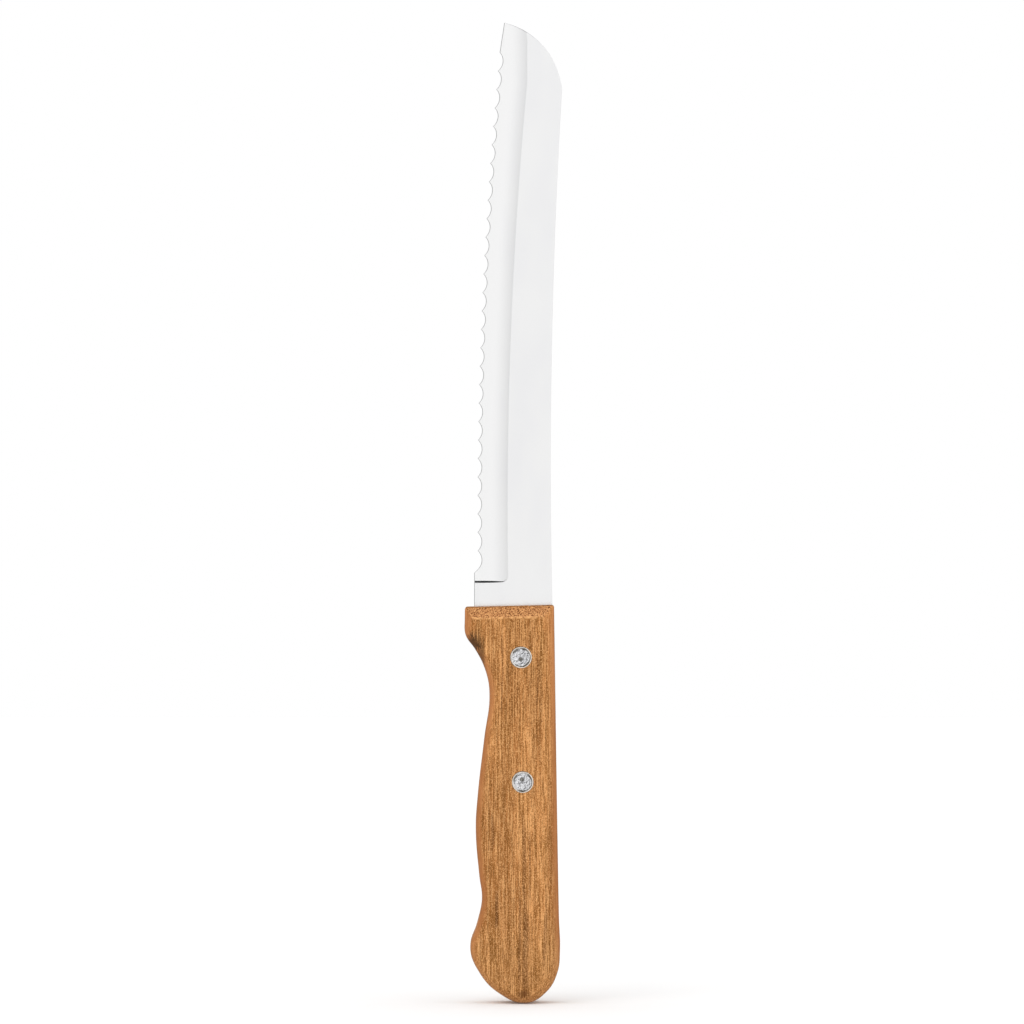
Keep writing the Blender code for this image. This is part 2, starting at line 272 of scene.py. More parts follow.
def tang_belly_x(z):
    """The tang's belly: a fillet under the heel, a straight run and the rounded end."""
    along = (z - HEEL_Z) / (TANG_END_Z - HEEL_Z)
    straight = TANG_BELLY_X * (1 - along) + TANG_BELLY_END_X * along
    short = max(TANG_FILLET - (HEEL_Z - z), 0.0)
    fillet = TANG_FILLET - math.sqrt(max(TANG_FILLET**2 - short**2, 0.0))
    return straight + end_round(z) - fillet


def front_x(z):
    """The blade's cutting side: tip, scalloped edge, ricasso, heel and the tang's belly."""
    if z >= FIRST_POINT_Z:
        along = (z - FIRST_POINT_Z) / (TIP.y - FIRST_POINT_Z)
        return point_line_x(FIRST_POINT_Z) * (1 - along) + TIP.x * along
    if z >= LAST_POINT_Z:
        return point_line_x(z) + gullet_depth(z)
    if z >= 0.0:
        return max(RICASSO_X, point_line_x(LAST_POINT_Z) - (LAST_POINT_Z - z))
    if z >= HEEL_Z:
        along = z / HEEL_Z
        return RICASSO_X * (1 - along) + HEEL_X * along
    return tang_belly_x(z)


# ---------------------------------------------------------------- blade's faces

GRIND_WIDTH = 9.25
GRIND_TOP_X = -7.46
GRIND_DEPTH = 0.42
GRIND_WHEEL = 75.0
PLUNGE_Z = 7.05
PLUNGE_SLOPE = 0.5
PLUNGE_RUN = 0.4
PLUNGE_CORNER = 2.0
SHARP_MARGIN = 0.2
BEVEL_SLOPE = 0.404
# The bevel's width is found step by step, from a first guess
BEVEL_GUESS = 1.0
BEVEL_TRIES = 6
DEBURR_WIDTH = 0.19
DEBURR_SLOPE = 0.34
EDGE_LAND = 0.03
SPINE_EASE = 0.14
RICASSO_EASE = 0.21
EDGE_STRIP = 3.5
# The widest a border may be, as a share of the face's width: a sharp edge's border, and an eased one
SHARP_SHARE = 1 / 3
EASED_SHARE = 1 / 4
# Where the grind's line and the edge's strip may end: shares of the way across what is left of the face
LINE_SHARES = (0.3, 0.8)
STRIP_SHARES = (0.2, 0.4)

# Steps across a face: its border, the strip along the edge, the hollow, the flat and the eased back
BORDER_STEPS = 4
STRIP_STEPS = 5
HOLLOW_STEPS = 14
FLAT_STEPS = 8

# Steps along the blade: the tang's end, its straight, its fillet, the heel, the ricasso, the plunge, one
# gullet and the round of the back
END_STEPS = 10
TANG_STEPS = 12
FILLET_STEPS = 8
HEEL_STEPS = 3
RICASSO_STEPS = 6
PLUNGE_STEPS = 140
GULLET_STEPS = 20
BACK_STEPS = 44
# How far below the plunge its close rows begin, and the gaps that keep rows apart
PLUNGE_REACH = 0.7
ROW_GAP = 0.05
HEEL_GAP = 0.02

RIVET_HOLE = 2.25
HOLE_SEGMENTS = 64
HOLE_CUTTER = 6.0
SHARP_CREASE = 5.2


def grind_line_x(z):
    """Where the hollow grind meets the flat of the blade: it follows the edge, then runs straight up."""
    return min(bowed_x(z, EDGE_APEX, EDGE_RADIUS - GRIND_WIDTH) + GRIND_WIDTH, GRIND_TOP_X)


def grind_depth(x, z):
    """How deep the hollow grind is at a point of either face."""
    inside = grind_line_x(z) - x
    if inside <= 0.0 or z <= 0.0:
        return 0.0
    deepest = math.sqrt(2 * GRIND_WHEEL * GRIND_DEPTH)
    hollow = GRIND_DEPTH - (inside - deepest) ** 2 / (2 * GRIND_WHEEL)
    short = max(PLUNGE_CORNER - inside, 0.0)
    plunge = PLUNGE_Z + PLUNGE_CORNER - math.sqrt(PLUNGE_CORNER**2 - short**2)
    run = max(hollow / PLUNGE_SLOPE, PLUNGE_RUN)
    return hollow * smoothstep(plunge - run / 2, plunge + run / 2, z)


def surface_y(x, z):
    """Half the sheet's thickness at a point of either face."""
    return SHEET / 2 - grind_depth(x, z)


def sharp_border(front, width, z, side):
    """The edge's border as (its width, its points): a fine deburred slope, or the gullets' long bevel."""
    edge_y = DEBURR_WIDTH * DEBURR_SLOPE - surface_y(front + DEBURR_WIDTH, z)
    if side < 0:
        crease = min(DEBURR_WIDTH, width * SHARP_SHARE)
        start_y = edge_y
        end_y = -surface_y(front + crease, z)
    else:
        start_y = edge_y + EDGE_LAND
        crease = BEVEL_GUESS
        for _ in range(BEVEL_TRIES):
            crease = (surface_y(front + crease, z) - start_y) / BEVEL_SLOPE
        crease = min(crease, width * SHARP_SHARE)
        end_y = start_y + BEVEL_SLOPE * crease
    steps = evenly(0.0, 1.0, BORDER_STEPS)
    return crease, [(front + crease * t, start_y + (end_y - start_y) * t) for t in steps]


def eased_corner(corner_x, top_y, ease, inward, side):
    """Points round an eased corner, from the blade's narrow side up to its face; inward is +1 or -1."""
    return [
        (corner_x + inward * ease * (1 - math.cos(turn)), side * (top_y - ease * (1 - math.sin(turn))))
        for turn in evenly(0.0, math.pi / 2, BORDER_STEPS)
    ]


def held_between(value, start, end, shares):
    """The value, held between two shares of the way from start to end."""
    low, high = (start + (end - start) * share for share in shares)
    return min(max(value, low), high)


def face_row(z, side):
    """Points across a face from the cutting side to the back: side -1 is plain, +1 has the gullets' bevel."""
    front = front_x(z)
    back = max(back_x(z), front + MIN_WIDTH)
    width = back - front
    if LAST_POINT_Z - SHARP_MARGIN <= z < TIP.y:
        crease, first = sharp_border(front, width, z, side)
    else:
        crease = min(RICASSO_EASE, width * EASED_SHARE)
        first = eased_corner(front, surface_y(front + crease, z), crease, 1, side)
    ease = min(SPINE_EASE, width * EASED_SHARE)
    start = front + crease
    end = back - ease
    line = held_between(grind_line_x(z), start, end, LINE_SHARES)
    strip = held_between(point_line_x(z) + EDGE_STRIP, start, line, STRIP_SHARES)
    across = [
        *evenly(start, strip, STRIP_STEPS)[1:],
        *evenly(strip, line, HOLLOW_STEPS)[1:],
        *evenly(line, end, FLAT_STEPS)[1:-1],
    ]
    middle = [(x, side * surface_y(x, z)) for x in across]
    last = reversed(eased_corner(back, SHEET / 2, ease, -1, side))
    return [(x, y, z) for x, y in [*first, *middle, *last]]


def blade_heights():
    """Heights of the cross-sections, closer together at the plunge, the gullets and the round of the back."""
    centre = back_centre()
    first = math.asin((FIRST_POINT_Z - centre.y) / BACK_RADIUS)
    last = math.asin((TIP.y - centre.y) / BACK_RADIUS)
    quarter = math.pi / 2
    end = [TANG_END_Z + TANG_END_RADIUS * (1 - math.cos(turn)) for turn in evenly(0.0, quarter, END_STEPS)]
    fillet = [HEEL_Z - TANG_FILLET * (1 - math.sin(turn)) for turn in evenly(0.0, quarter, FILLET_STEPS)]
    fillet[-1] -= HEEL_GAP
    return [
        *end,
        *evenly(end[-1], fillet[0], TANG_STEPS)[1:-1],
        *fillet,
        *evenly(HEEL_Z, 0.0, HEEL_STEPS),
        *evenly(0.0, PLUNGE_Z - PLUNGE_REACH, RICASSO_STEPS)[1:],
        *evenly(PLUNGE_Z - PLUNGE_REACH + ROW_GAP, LAST_POINT_Z, PLUNGE_STEPS)[:-1],
        *evenly(LAST_POINT_Z, FIRST_POINT_Z, GULLET_COUNT * GULLET_STEPS),
        *[centre.y + BACK_RADIUS * math.sin(turn) for turn in evenly(first, last, BACK_STEPS)[1:]],
    ]


def blade_mesh():
    """Both faces as rows of points, joined round the edge and the back, with the tang's two rivet holes."""
    rings = [[*face_row(z, -1.0), *reversed(face_row(z, 1.0))] for z in blade_heights()]
    holes = []
    for end in ("front", "rear"):
        middle = middle_of(f"{end}_rivet_pin")
        holes.append(disc(f"{end}_hole", RIVET_HOLE, HOLE_CUTTER, middle.x, middle.z, HOLE_SEGMENTS))
    mesh = cut_away(loft("blade_steel", rings), holes)
    shade(mesh, SHARP_CREASE)
    return mesh


# ---------------------------------------------------------------- handle

OUTLINE_STEP = 0.4
OUTLINE_BLUR = 0.55
BLUR_REACH = 3.0
# The straight wall of the CAD solid ends above this share of its half thickness
WALL_SHARE = 0.3
# The outline starts at the highest corner, with this weight on being far back
BACK_WEIGHT = 0.1
FRONT_STEPS = 60
CORNER_RADIUS = 0.7
# A corner is rounded by this many degrees to each side of its middle
CORNER_TURN = 42.0
CORNER_STEPS = 6
CORNER_REACH = 1.05 * CORNER_RADIUS
MITRE_REACH = 9.0
BORDER_RINGS = 14
WALL_RINGS = 4
BELLY_BORDER = 2.1
BACK_BORDER = 3.1
# The border's width changes from the back's to the belly's with the x of the direction inwards
BACK_TO_BELLY = (-1.0, 0.3)
BORDER_WOBBLE = 0.06
WOBBLE_LENGTH = 14.0
WOBBLE_PLACE = (3.0, 7.0)
SIDE_DROP = 2.6
SIDE_CREASE = 0.3
FRONT_BORDER = 3.65
FRONT_TILT = 0.022
FRONT_DROP = 2.2
FRONT_CREASE = 0.9
SAW_RADIUS = 90.0
SAW_X = 0.0
SAW_Z = 23.0
SAW_SEGMENTS = 256
SLOT_CLEARANCE = 0.02
BORE_SEGMENTS = 96
HEAD_CLEARANCE = 0.05
COUNTERBORE = 2.6
HANDLE_CREASE = 12.0


def cad_outline():
    """The handle's outline in order, from the ring where its straight wall ends in the CAD solid."""
    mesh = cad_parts["handle"].data
    keys = [tuple(round(c / MM, 3) for c in vertex.co) for vertex in mesh.vertices]
    ring_y = min(key[1] for key in keys if key[1] > WALL_SHARE * HANDLE_HIGH.y / MM)
    neighbours = {}
    for polygon in mesh.polygons:
        corners = [keys[i] for i in polygon.vertices]
        for a, b in zip(corners, corners[1:] + corners[:1]):
            if a != b and a[1] == b[1] == ring_y:
                neighbours.setdefault(a, set()).add(b)
                neighbours.setdefault(b, set()).add(a)
    start = max(neighbours, key=lambda key: key[2] + BACK_WEIGHT * key[0])
    ring = [start, min(neighbours[start])]
    while len(ring) < len(neighbours):
        ring.append(next(key for key in neighbours[ring[-1]] if key != ring[-2]))
    return [from_datum(Vector(key) * MM).xz for key in ring]


def spread(points, step):
    """Points at even distances along an open run, kept at both ends, and the distance between them."""
    lengths = [(b - a).length for a, b in zip(points, points[1:])]
    count = round(sum(lengths) / step)
    gap = sum(lengths) / count
    run, index, passed = [], 0, 0.0
    for i in range(count + 1):
        while index < len(lengths) - 1 and passed + lengths[index] < i * gap:
            passed += lengths[index]
            index += 1
        t = min((i * gap - passed) / lengths[index], 1.0)
        run.append(points[index].lerp(points[index + 1], t))
    return run, gap


def blurred(run, gap):
    """A run of points with its small corners blurred and both ends kept."""
    reach = round(BLUR_REACH * OUTLINE_BLUR / gap)
    weights = [math.exp(-((k * gap / OUTLINE_BLUR) ** 2) / 2) for k in range(reach + 1)]
    result = []
    for i, point in enumerate(run):
        near = min(reach, i, len(run) - 1 - i)
        total = weights[0] * point
        for k in range(1, near + 1):
            total = total + weights[k] * (run[i - k] + run[i + k])
        result.append(total / (weights[0] + 2 * sum(weights[1 : near + 1])))
    return result


# A sample of the outline is (point, vector to the border's inner end, share of the front's shape)


def front_samples(back, guard, back_mitre, guard_mitre):
    """Samples along the planed front, from the back's corner to the guard's."""
    along = (guard - back).normalized() * CORNER_REACH
    samples = []
    for t in evenly(0.0, 1.0, FRONT_STEPS):
        point = (back + along).lerp(guard - along, t)
        inner = (back + back_mitre).lerp(guard + guard_mitre, t)
        samples.append((point, inner - point, 1.0))
    return samples


def corner_samples(corner, before, after, mitre):
    """Samples round a corner of the front, in the outline's direction."""
    inward = ((before - corner).normalized() + (after - corner).normalized()).normalized()
    middle = corner + inward * CORNER_RADIUS * math.sqrt(2)
    half = math.radians(CORNER_TURN)
    samples = []
    for turn in evenly(-half, half, CORNER_STEPS):
        point = middle - Matrix.Rotation(turn, 2) @ inward * CORNER_RADIUS
        samples.append((point, corner + mitre - point, 1.0))
    return samples


def long_samples(run, trim):
    """Samples down the belly, round the pommel and up the back; both ends lean into the mitres."""
    last = len(run) - 1
    samples = []
    for i in range(trim, last - trim + 1):
        ahead = (run[i + 1] - run[i - 1]).normalized()
        inward = Vector((-ahead.y, ahead.x))
        from_guard = max(1.0 - i * OUTLINE_STEP / MITRE_REACH, 0.0)
        from_back = max(1.0 - (last - i) * OUTLINE_STEP / MITRE_REACH, 0.0)
        share = max(from_guard, from_back) ** 2
        width = BACK_BORDER + (BELLY_BORDER - BACK_BORDER) * smoothstep(*BACK_TO_BELLY, inward.x)
        place = Vector((i * OUTLINE_STEP / WOBBLE_LENGTH, *WOBBLE_PLACE))
        width *= 1.0 + BORDER_WOBBLE * noise.noise(place) * (1.0 - share)
        slide = ahead * FRONT_BORDER * (from_guard**2 - from_back**2)
        samples.append((run[i], inward * width + slide, share))
    return samples


def handle_samples():
    """All samples of the handle's outline, in order."""
    ring = cad_outline()
    back, guard = ring[0], ring[1]
    run = blurred(*spread(ring[1:] + ring[:1], OUTLINE_STEP))
    trim = math.ceil(CORNER_RADIUS / OUTLINE_STEP) + 1
    guard_mitre = Vector((BELLY_BORDER, -FRONT_BORDER))
    back_mitre = Vector((-BACK_BORDER, -FRONT_BORDER))
    return [
        *front_samples(back, guard, back_mitre, guard_mitre),
        *corner_samples(guard, back, run[trim], guard_mitre),
        *long_samples(run, trim),
        *corner_samples(back, run[-1 - trim], guard, back_mitre),
    ]


def border_ring(samples, turn, side):
    """One ring of the side border: turn 0 is the wall's end, turn 90 degrees the edge of the flat face."""
    out = math.cos(turn)
    round_part = 1.0 - math.sqrt(1.0 - out**2)
    ring = []
    for point, inset, share in samples:
        drop = SIDE_DROP + (FRONT_DROP - SIDE_DROP) * share
        crease = SIDE_CREASE + (FRONT_CREASE - SIDE_CREASE) * share
        fall = drop * (crease * out + (1.0 - crease) * round_part)
        place = point + inset * (1.0 - out)
        ring.append((place.x, side * (HANDLE_HIGH.y / MM - fall), place.y))
    return ring


def rivet_bore(name):
    """Cutters for a rivet's bore: the shank's hole and a counterbore for each head."""
    low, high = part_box(f"{name}_rivet_sleeve")
    middle = from_datum((low + high) / 2)
    head = (high.x - low.x) / 2 / MM + HEAD_CLEARANCE
    shank = disc(f"{name}_bore", RIVET_HOLE, 2 * high.y / MM, middle.x, middle.z, BORE_SEGMENTS)
    counterbores = []
    for side in (-1.0, 1.0):
        cutter = disc(f"{name}_counterbore", head, COUNTERBORE, middle.x, middle.z, BORE_SEGMENTS)
        cutter.location.y = side * high.y
        counterbores.append(cutter)
    return [shank, *counterbores]


def handle_mesh():
    """The block between its two borders, with the saw slot and the rivets' bores cut out."""
    samples = handle_samples()
    turns = evenly(0.0, math.pi / 2, BORDER_RINGS)
    near_end = border_ring(samples, 0.0, -1.0)
    far_end = border_ring(samples, 0.0, 1.0)
    rings = [border_ring(samples, turn, -1.0) for turn in reversed(turns)]
    for t in evenly(0.0, 1.0, WALL_RINGS)[1:-1]:
        rings.append([tuple(Vector(a).lerp(Vector(b), t)) for a, b in zip(near_end, far_end)])
    rings += [border_ring(samples, turn, 1.0) for turn in turns]
    saw = disc("saw", SAW_RADIUS, SHEET + 2 * SLOT_CLEARANCE, SAW_X, SAW_Z, SAW_SEGMENTS)
    mesh = cut_away(loft("handle_wood", rings), [saw, *rivet_bore("front"), *rivet_bore("rear")])
    shade(mesh, HANDLE_CREASE)
    return mesh


# ---------------------------------------------------------------- rivets

HEAD_PROUD = 0.02
HEAD_THICKNESS = 1.2
HEAD_STEPS = 34
HEAD_SEGMENTS = 128
HEAD_CREASE = 50.0
SHANK_RADIUS = {"pin": 1.3, "sleeve": 2.1}
DISH_DEPTH = 0.14
GROOVE_MIDDLE = 2.7
GROOVE_HALF = 0.2
GROOVE_DEPTH = 0.08
GROOVE_WANDER = 0.14
GROOVE_SLOPE = 0.3
CRESCENT_DEPTH = 0.24
CRESCENT_TURN = 55.0
RIM_INNER = 2.9
RIM_ROUND = 0.1
RIM_FLAT = 0.1
RIM_UNEVEN = 0.03
RIM_WAVES = 3.0
RIM_SHIFT = 2.0
PIT_RADIUS = 0.8
PIT_FLOOR = 0.35
PIT_DEPTH = 0.42
# Hammer marks: height, waves per millimetre and the shift of the noise
HAMMER_MARKS = ((0.192, 1.1, 0.0), (0.128, 2.4, 5.0), (0.032, 6.0, 9.0))
# For each rivet: directions of its dark crescents, in degrees from +X, and the place of its pit
RIVET_MARKS = {
    "front": ((70.0, 130.0, -50.0), (-0.1, -0.6)),
    "rear": ((35.0, 150.0, -95.0), (-0.2, 0.8)),
}


def bump_at(angle, centre):
    """1 at a crescent's middle direction, falling to 0 at its ends."""
    away = abs((math.degrees(angle) - centre + 180.0) % 360.0 - 180.0)
    return 1.0 - smoothstep(0.0, CRESCENT_TURN, away)


def head_height(radius, angle, name, seed, head_radius):
    """Height of a hammered rivet head above its rim's plain top."""
    crescents, pit = RIVET_MARKS[name]
    round_x, round_z = math.cos(angle), math.sin(angle)
    x, z = radius * round_x, radius * round_z
    wander = GROOVE_WANDER * noise.noise(Vector((round_x, round_z, seed)))
    depth = GROOVE_DEPTH + CRESCENT_DEPTH * max(bump_at(angle, centre) for centre in crescents)
    groove = depth * math.exp(-(((radius - GROOVE_MIDDLE - wander) / GROOVE_HALF) ** 2))
    dents = sum(
        height * noise.noise(Vector((x * waves, z * waves, seed + shift)))
        for height, waves, shift in HAMMER_MARKS
    )
    inside = 1.0 - smoothstep(GROOVE_MIDDLE - GROOVE_SLOPE, RIM_INNER, radius - wander)
    dish = DISH_DEPTH * (2.0 - min(radius / GROOVE_MIDDLE, 1.0) ** 2)
    from_pit = math.hypot(x - pit[0], z - pit[1]) / PIT_RADIUS
    pit_depth = PIT_DEPTH * (1.0 - smoothstep(PIT_FLOOR, 1.0, from_pit))
    rim_round = RIM_ROUND * smoothstep(RIM_INNER + RIM_FLAT, head_radius, radius) ** 3
    place = Vector((round_x * RIM_WAVES, round_z * RIM_WAVES, seed + RIM_SHIFT))
    uneven = RIM_UNEVEN * noise.noise(place)
    return inside * (dents - dish) - groove - pit_depth - rim_round + uneven


def rivet_mesh(name, part, side, seed):
    """A rivet half: its shank, its flank and a hammered head, turned about the rivet's axis."""
    node = f"{name}_rivet_{part}"
    low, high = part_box(node)
    middle = from_datum((low + high) / 2)
    head_radius = (high.x - low.x) / 2 / MM
    top = HANDLE_HIGH.y / MM + HEAD_PROUD
    seat = top - HEAD_THICKNESS
    shank_end = HANDLE_HIGH.y / MM - (high.y - low.y) / MM
    shank = SHANK_RADIUS[part]
    turns = evenly(0.0, math.tau, HEAD_SEGMENTS)[:-1]

    # Rings of (radius, direction, height) from the shank's end to the middle of the head
    rings = [
        [(radius, turn, height) for turn in turns]
        for radius, height in ((shank, shank_end), (shank, seat), (head_radius, seat))
    ]
    for radius in evenly(head_radius, 0.0, HEAD_STEPS)[:-1]:
        heights = [top + head_height(radius, turn, name, seed, head_radius) for turn in turns]
        rings.append([(radius, turn, height) for turn, height in zip(turns, heights)])
    samples = [sample for ring in rings for sample in ring]
    samples.append((0.0, 0.0, top + head_height(0.0, 0.0, name, seed, head_radius)))
    points = [
        (middle.x + radius * math.cos(turn), side * height, middle.z + radius * math.sin(turn))
        for radius, turn, height in samples
    ]

    faces = ring_faces(len(rings), HEAD_SEGMENTS)
    centre = len(points) - 1
    inner = centre - HEAD_SEGMENTS
    for c in range(HEAD_SEGMENTS):
        faces.append((inner + c, inner + (c + 1) % HEAD_SEGMENTS, centre))
    faces.append(tuple(reversed(range(HEAD_SEGMENTS))))
    mesh = mesh_from(node + "_metal", points, faces)
    shade(mesh, HEAD_CREASE)
    return mesh


# ---------------------------------------------------------------- material helpers


def tone(red, green, blue):
    """A display colour, 0 to 255, as the linear colour the shaders take."""
    linear = []
    for value in (red, green, blue):
        share = value / 255
        linear.append(share / 12.92 if share <= 0.04045 else ((share + 0.055) / 1.055) ** 2.4)
    return (*linear, 1.0)


class Graph:
    """A node tree, with a short call for each kind of node used here. Lengths are millimetres."""

    def __init__(self, tree):
        self.tree = tree

    def put(self, socket, value):
        """Links the socket if the value is a node's output, and sets it if it isn't."""
        if isinstance(value, bpy.types.NodeSocket):
            self.tree.links.new(value, socket)
        else:
            socket.default_value = value

    def add(self, kind, inputs, **settings):
        """A new shader node with these inputs and settings."""
        node = self.tree.nodes.new("ShaderNode" + kind)
        for name, value in settings.items():
            setattr(node, name, value)
        for key, value in inputs.items():
            self.put(node.inputs[key], value)
        return node

    def math(self, operation, a, b=0.0, c=0.0):
        """One operation of a Math node on up to three values."""
        return self.add("Math", {0: a, 1: b, 2: c}, operation=operation).outputs[0]

    def times(self, first, *others):
        """The product of two or more values."""
        for other in others:
            first = self.math("MULTIPLY", first, other)
        return first

    def away(self, value, centre=0.0):
        """How far a value is from a centre, either way."""
        return self.math("ABSOLUTE", self.math("SUBTRACT", value, centre))

    def scale(self, vector, factors):
        """The vector times a factor for each axis."""
        return self.add("VectorMath", {0: vector, 1: factors}, operation="MULTIPLY").outputs[0]

    def shift(self, vector, offset):
        """The vector plus an offset."""
        return self.add("VectorMath", {0: vector, 1: offset}, operation="ADD").outputs[0]

    def split(self, vector):
        """The x, y and z of a vector."""
        return self.add("SeparateXYZ", {0: vector}).outputs

    def noise(self, place, factors, detail, roughness):
        """Noise from 0 to 1; the factors are about how many of its blobs there are per millimetre."""
        inputs = {"Scale": 1.0, "Detail": detail, "Roughness": roughness}
        inputs["Vector"] = self.scale(place, factors)
        return self.add("TexNoise", inputs).outputs["Fac"]

    def step(self, value, low, high, start=0.0, end=1.0):
        """A smooth ramp: start where the value is low, end where it is high."""
        inputs = {"Value": value, "From Min": low, "From Max": high, "To Min": start, "To Max": end}
        return self.add("MapRange", inputs, interpolation_type="SMOOTHSTEP").outputs[0]

    def mix(self, factor, a, b, blend="MIX"):
        """The colour a where the factor is 0, and b, or a blended with b, where it is 1."""
        node = self.add("Mix", {0: factor, 6: a, 7: b}, data_type="RGBA", blend_type=blend)
        return node.outputs[2]

    def bump(self, height, strength, distance):
        """A normal that is bumped by this height."""
        inputs = {"Strength": strength, "Distance": distance * MM, "Height": height}
        return self.add("Bump", inputs).outputs[0]


def new_material(name):
    """A material's graph, its shader and the place on the knife, in millimetres from the datum."""
    material = bpy.data.materials.new(name)
    material.use_nodes = True
    graph = Graph(material.node_tree)
    shader = material.node_tree.nodes["Principled BSDF"]
    coordinates = graph.add("TexCoord", {}).outputs["Object"]
    place = graph.scale(graph.shift(coordinates, tuple(-DATUM)), (1 / MM,) * 3)
    return material, graph, shader, place


def put_all(graph, shader, **values):
    """Sets or links the shader's inputs, named with underscores for spaces."""
    for name, value in values.items():
        graph.put(shader.inputs[name.replace("_", " ")], value)


def from_spot(graph, place, centre, factors=(1.0, 0.0, 1.0)):
    """How far a place is from a spot's centre in the drawing plane, with its axes stretched."""
    offset = graph.scale(graph.shift(place, tuple(-centre)), factors)
    return graph.add("VectorMath", {0: offset}, operation="LENGTH").outputs["Value"]


# What the tuples of the materials hold. A ramp: from, to, and then its two values if they aren't 0 and 1.
# A noise: factors along x, y and z, detail and roughness. A roughness: how much of the noise is added, and
# the least. A bump: strength and depth.

# ---------------------------------------------------------------- steel

STEEL_TONE = tone(250, 250, 250)
STEEL_DARK = tone(247, 247, 248)
# Painted reflection: the hollow grind's tone, brighter the deeper the grind
STEEL_GRIND_SHEEN = tone(253, 253, 253)
STEEL_LINES = ((0.25, 2.0, 9.0), 5.0, 0.6)
STEEL_CLOUDS = ((0.08, 0.08, 0.03), 3.0, 0.55)
STEEL_SCUFFS = ((1.5, 1.5, 0.2), 6.0, 0.7)
CLOUD_RAMP = (0.35, 0.65)
GRIND_SHEEN_RAMP = (0.18, 0.42)
SCUFF_RAMP = (0.6, 0.8, 0.0, 0.06)
STEEL_ROUGHNESS = (0.08, 0.17)
STEEL_BUMP = (0.25, 0.002)


def steel_material():
    """Satin stainless steel: fine polishing lines, faint clouds, small scuffs and a painted reflection on the
    hollow grind.
    """
    material, graph, shader, place = new_material("blade_steel")
    lines = graph.noise(place, *STEEL_LINES)
    clouds = graph.step(graph.noise(place, *STEEL_CLOUDS), *CLOUD_RAMP)
    scuffs = graph.step(graph.noise(place, *STEEL_SCUFFS), *SCUFF_RAMP)
    # The hollow grind is painted brighter the deeper it is: a painted reflection
    depth = graph.math("SUBTRACT", SHEET / 2, graph.away(graph.split(place)[1]))
    colour = graph.mix(clouds, STEEL_TONE, STEEL_DARK)
    put_all(
        graph,
        shader,
        Base_Color=graph.mix(graph.step(depth, *GRIND_SHEEN_RAMP), colour, STEEL_GRIND_SHEEN),
        Metallic=1.0,
        Roughness=graph.math("ADD", graph.math("MULTIPLY_ADD", lines, *STEEL_ROUGHNESS), scuffs),
        Normal=graph.bump(lines, *STEEL_BUMP),
    )
    return material


# ---------------------------------------------------------------- wood

WOOD = tone(168, 103, 44)
WOOD_LIGHT = tone(200, 135, 76)
WOOD_OLIVE = tone(152, 100, 38)
WOOD_OCHRE = tone(190, 138, 80)
WOOD_DARK = tone(120, 73, 16)
WOOD_PORE = tone(92, 50, 4)
# Real flecks in the grain and on the front, and the painted highlight along the front's crease
WOOD_FLECK_AND_GLINT = tone(226, 168, 108)
WOOD_BORDER = tone(170, 106, 62)
WOOD_END = tone(194, 126, 78)
# Painted shade for the thin line where the border meets the wall
WOOD_EDGE_SHADE = tone(134, 92, 66)
# Painted shade under the guard's lip, partly a burn mark
WOOD_BURN_SHADE = tone(62, 40, 12)

# Noises
BANDS = ((0.20, 0.20, 0.014), 2.0, 0.55)
HUES = ((0.33, 0.33, 0.035), 3.0, 0.55)
DRIFT = ((0.05, 0.05, 0.05), 2.0, 0.55)
PORES = ((3.0, 3.0, 0.9), 4.0, 0.8)
END_SPECKS = ((2.6, 2.6, 3.0), 3.0, 0.8)
CREASE_PATCHES = ((0.9, 0.9, 0.4), 4.0, 0.8)
GRAIN_NOISES = {
    "lines": ((1.7, 1.7, 0.012), 2.0, 0.7),
    "grain": ((2.6, 2.6, 0.04), 3.0, 0.8),
    "fibres": ((3.2, 3.2, 0.13), 3.0, 0.8),
    "speckle": ((3.2, 3.2, 2.3), 3.0, 0.8),
}
# The grain's layers, from the lowest up: noise, from, to, strength and tint
GRAIN_LAYERS = (
    ("lines", 0.51, 0.62, 0.6, WOOD_DARK),
    ("lines", 0.48, 0.36, 0.55, WOOD_FLECK_AND_GLINT),
    ("grain", 0.51, 0.61, 0.8, WOOD_DARK),
    ("fibres", 0.52, 0.62, 0.8, WOOD_FLECK_AND_GLINT),
    ("fibres", 0.49, 0.41, 0.8, WOOD_DARK),
    ("speckle", 0.47, 0.38, 0.85, WOOD_FLECK_AND_GLINT),
    ("speckle", 0.53, 0.63, 0.75, WOOD_DARK),
)

# Ramps
BAND_RAMP = (0.35, 0.68)
BAND_SHADE = (0.35, 0.62, 1.04, 0.93)
HUE_RAMP = (0.50, 0.72, 0.0, 0.6)
POMMEL_OCHRE = (-96.0, -110.0, 0.0, 0.45)
PORE_RAMP = (0.57, 0.66, 0.0, 0.8)
PATCHY_RAMP = (0.3, 0.55)

# The side border by the normal's y: from the face, to the wall, and weaker towards the pommel
BORDER_BEGINS = (0.985, 0.7)
BORDER_ENDS = (0.05, 0.4)
POMMEL_BORDER = (-118.0, -96.0, 0.3, 1.0)
BORDER_SMOOTH = 0.7
BORDER_TINT = 0.5
# The painted shade line where the border meets the wall: by distance from the mid-plane, and by the normal's
# y
EDGE_PLACE = (5.2, 5.8)
EDGE_FACING = (0.62, 0.25, 0.0, 0.3)

# Dark streaks: x, half width, lower and upper end, strength
STREAKS = (
    (-18.0, 0.5, -76.0, -62.0, 0.6),
    (-8.4, 0.9, -106.0, -60.0, 0.6),
    (-6.7, 0.5, -92.0, -66.0, 0.6),
    (-10.0, 0.6, -122.0, -82.0, 0.6),
    (-8.2, 1.4, -121.0, -92.0, 0.55),
    (-17.0, 0.6, -100.0, -86.0, 0.8),
    (-2.4, 0.6, -112.0, -92.0, 0.5),
    (-15.2, 0.4, -36.0, -4.0, 0.6),
    (-13.6, 0.3, -44.0, -4.0, 0.4),
    (-4.4, 0.4, -34.0, -12.0, 0.5),
)
STREAK_DRIFT = (2.4, -1.2)
STREAK_CORE = 0.3
STREAK_FADE = 0.25
